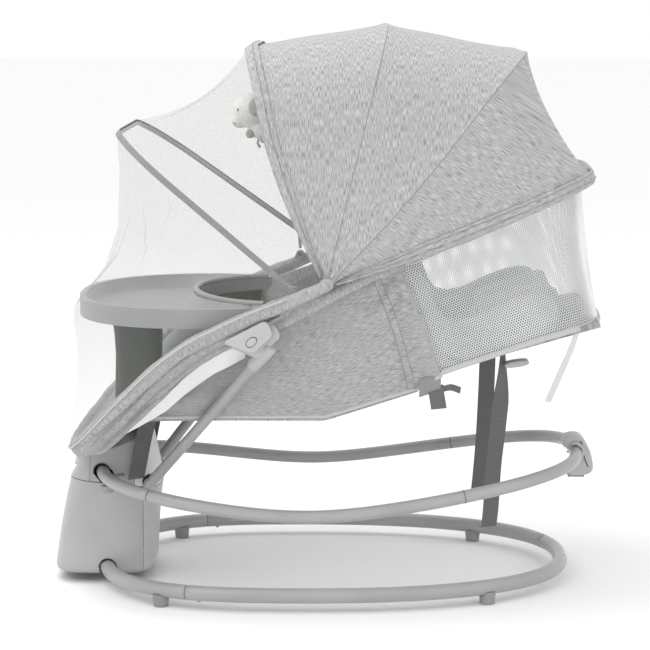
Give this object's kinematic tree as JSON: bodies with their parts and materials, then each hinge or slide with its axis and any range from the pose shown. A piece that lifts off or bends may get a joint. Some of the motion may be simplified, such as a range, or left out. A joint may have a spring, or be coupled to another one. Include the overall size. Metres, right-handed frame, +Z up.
{
  "type": "bouncer seat",
  "caption": "Swinging bouncer seat: oval floor loop, drive tower, rocker loop, reclining fabric seat, tray, folding canopy and insect net.",
  "frame": {"origin": "on the floor, at the middle of the bounding box", "axes": "+X towards the head end, +Z up, +Y to the right of a child lying in the seat"},
  "size_m": [0.816, 0.514, 0.8286],
  "materials": {
    "tube": "satin",
    "shell": "satin",
    "light_shell": "satin",
    "dark_plastic": "satin",
    "cloth": "matte",
    "webbing": "matte",
    "net": "matte",
    "rubber": "matte",
    "steel": "satin",
    "board": "matte",
    "plush": "matte"
  },
  "bodies": {
    "base": {"floor_front_tube": "tube", "floor_left_tube": "tube", "floor_right_tube": "tube", "floor_snap_pins": "steel", "floor_feet": "rubber", "tower_shell": "shell", "tower_rear_cover": "light_shell", "tower_floor_plate": "dark_plastic", "drive_motor": "steel", "drive_gearbox": "light_shell", "shaft_bearing": "light_shell", "battery_box": "dark_plastic", "housing_screws": "steel"},
    "drive_output": {"swing_shaft": "steel"},
    "rocker": {"head_shell": "shell", "head_front_panel": "light_shell", "head_rear_cover": "light_shell", "circuit_board": "board", "rocker_front_tube": "tube", "rocker_left_tube": "tube", "rocker_right_tube": "tube", "rocker_rivets": "steel", "rocker_pads": "rubber", "stand_clip": "light_shell", "left_leg": "tube", "right_leg": "tube", "left_hub": "light_shell", "right_hub": "light_shell", "seat_front_tube": "tube", "net_pivots": "dark_plastic", "seat_sling": "cloth", "side_walls": "cloth", "front_straps": "webbing", "harness": "webbing"},
    "backrest": {"backrest_tube": "tube", "back_board": "cloth", "head_pillow": "cloth", "mesh_basket": "net", "canopy_pivots": "dark_plastic", "left_under_strap": "webbing", "right_under_strap": "webbing", "rear_tape": "webbing", "rear_canopy_panel": "cloth"},
    "rear_bow": {"rear_canopy_bow": "dark_plastic", "middle_canopy_panel": "cloth"},
    "middle_bow": {"middle_canopy_bow": "dark_plastic", "front_canopy_panel": "cloth"},
    "front_bow": {"front_canopy_bow": "dark_plastic"},
    "net_bow": {"net_bow": "dark_plastic", "net_top": "net", "net_drape": "net"},
    "tray": {"tray": "light_shell", "tray_post": "dark_plastic"},
    "stand": {"rocker_stand": "light_shell"},
    "power_button": {"power_button": "dark_plastic"},
    "speed_button": {"speed_button": "dark_plastic"},
    "music_button": {"music_button": "dark_plastic"},
    "left_hub_button": {"left_hub_button": "light_shell"},
    "right_hub_button": {"right_hub_button": "light_shell"},
    "toy": {"plush_toy": "plush"}
  },
  "joints": [
    {"name": "swing", "type": "hinge", "parent": "base", "child": "drive_output", "pos_m": [-0.318, 0, 0.15], "axis": [0.1045, 0, 0.9945], "range_deg": [-10, 10]},
    {"name": "rocker_lift", "type": "slide", "parent": "drive_output", "child": "rocker", "axis": [0.1045, 0, 0.9945], "range_m": [0, 0.15]},
    {"name": "backrest_raise", "type": "hinge", "parent": "rocker", "child": "backrest", "pos_m": [-0.101, 0, 0.391], "axis": [0, -1, 0], "range_deg": [0, 25], "deforming": ["side_walls"]},
    {"name": "rear_bow_fold", "type": "hinge", "parent": "backrest", "child": "rear_bow", "pos_m": [0.003, 0, 0.467], "axis": [0, 1, 0], "range_deg": [0, 20], "deforming": ["rear_canopy_panel"]},
    {"name": "middle_bow_fold", "type": "hinge", "parent": "rear_bow", "child": "middle_bow", "pos_m": [0.003, 0, 0.467], "axis": [0, 1, 0], "range_deg": [0, 20.8], "deforming": ["middle_canopy_panel"]},
    {"name": "front_bow_fold", "type": "hinge", "parent": "middle_bow", "child": "front_bow", "pos_m": [0.003, 0, 0.467], "axis": [0, 1, 0], "range_deg": [0, 24.6], "deforming": ["front_canopy_panel"]},
    {"name": "net_bow_fold", "type": "hinge", "parent": "rocker", "child": "net_bow", "pos_m": [-0.042, 0, 0.461], "axis": [0, 1, 0], "range_deg": [0, 26], "deforming": ["net_top", "net_drape"]},
    {"name": "tray_lift", "type": "slide", "parent": "rocker", "child": "tray", "axis": [0, 0, 1], "range_m": [0, 0.12]},
    {"name": "stand_fold", "type": "hinge", "parent": "rocker", "child": "stand", "pos_m": [0.378, 0, 0.19], "axis": [0, 1, 0], "range_deg": [0, 80]},
    {"name": "power_button_press", "type": "slide", "parent": "rocker", "child": "power_button", "axis": [0.9744, 0, -0.225], "range_m": [0, 0.002], "stiffness_N_per_m": 600},
    {"name": "speed_button_press", "type": "slide", "parent": "rocker", "child": "speed_button", "axis": [0.9744, 0, -0.225], "range_m": [0, 0.002], "stiffness_N_per_m": 600},
    {"name": "music_button_press", "type": "slide", "parent": "rocker", "child": "music_button", "axis": [0.9744, 0, -0.225], "range_m": [0, 0.002], "stiffness_N_per_m": 600},
    {"name": "left_hub_press", "type": "slide", "parent": "rocker", "child": "left_hub_button", "axis": [0, 1, 0], "range_m": [0, 0.0018], "stiffness_N_per_m": 600},
    {"name": "right_hub_press", "type": "slide", "parent": "rocker", "child": "right_hub_button", "axis": [0, -1, 0], "range_m": [0, 0.0018], "stiffness_N_per_m": 600},
    {"name": "toy_swing", "type": "hinge", "parent": "front_bow", "child": "toy", "pos_m": [-0.088, 0, 0.774], "axis": [0, 1, 0], "range_deg": [-15, 15]}
  ],
  "couplings": [
    {"joint": "middle_bow_fold", "follows": "rear_bow_fold", "ratio": 1.035},
    {"joint": "front_bow_fold", "follows": "rear_bow_fold", "ratio": 1.225}
  ]
}
